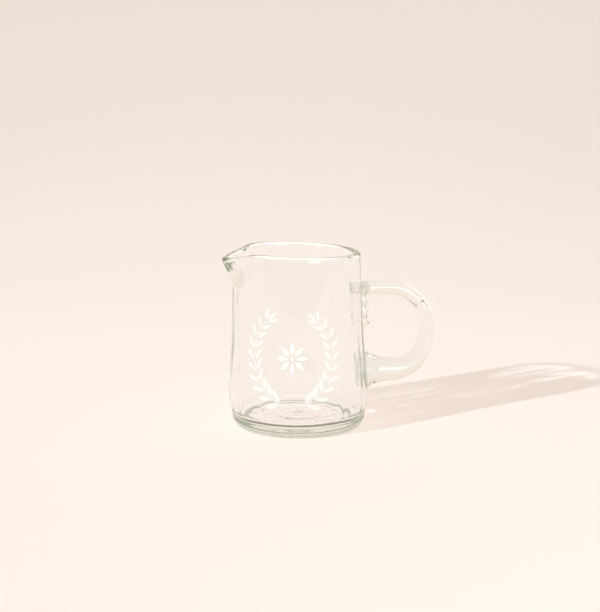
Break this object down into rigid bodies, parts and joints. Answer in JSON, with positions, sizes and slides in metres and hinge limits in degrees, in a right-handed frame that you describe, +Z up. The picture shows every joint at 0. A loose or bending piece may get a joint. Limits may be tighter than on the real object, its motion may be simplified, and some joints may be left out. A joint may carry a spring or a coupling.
{
  "type": "glass creamer",
  "caption": "Hand-blown clear glass creamer with a tapering thick-walled body, a pulled pouring lip, a drawn loop handle and a crimped tail under its upper joint.",
  "frame": {"origin": "centre of the flat underside, on the body's axis", "axes": "+Z up from the underside to the rim, +X towards the handle, so the pouring lip points to -X"},
  "size_m": [0.1248, 0.0822, 0.1027],
  "materials": {
    "clear_glass": "fire-polished, clear with a faint green tint"
  },
  "bodies": {
    "root": {"body": "clear_glass", "handle": "clear_glass", "crimped_tail": "clear_glass"}
  },
  "joints": []
}
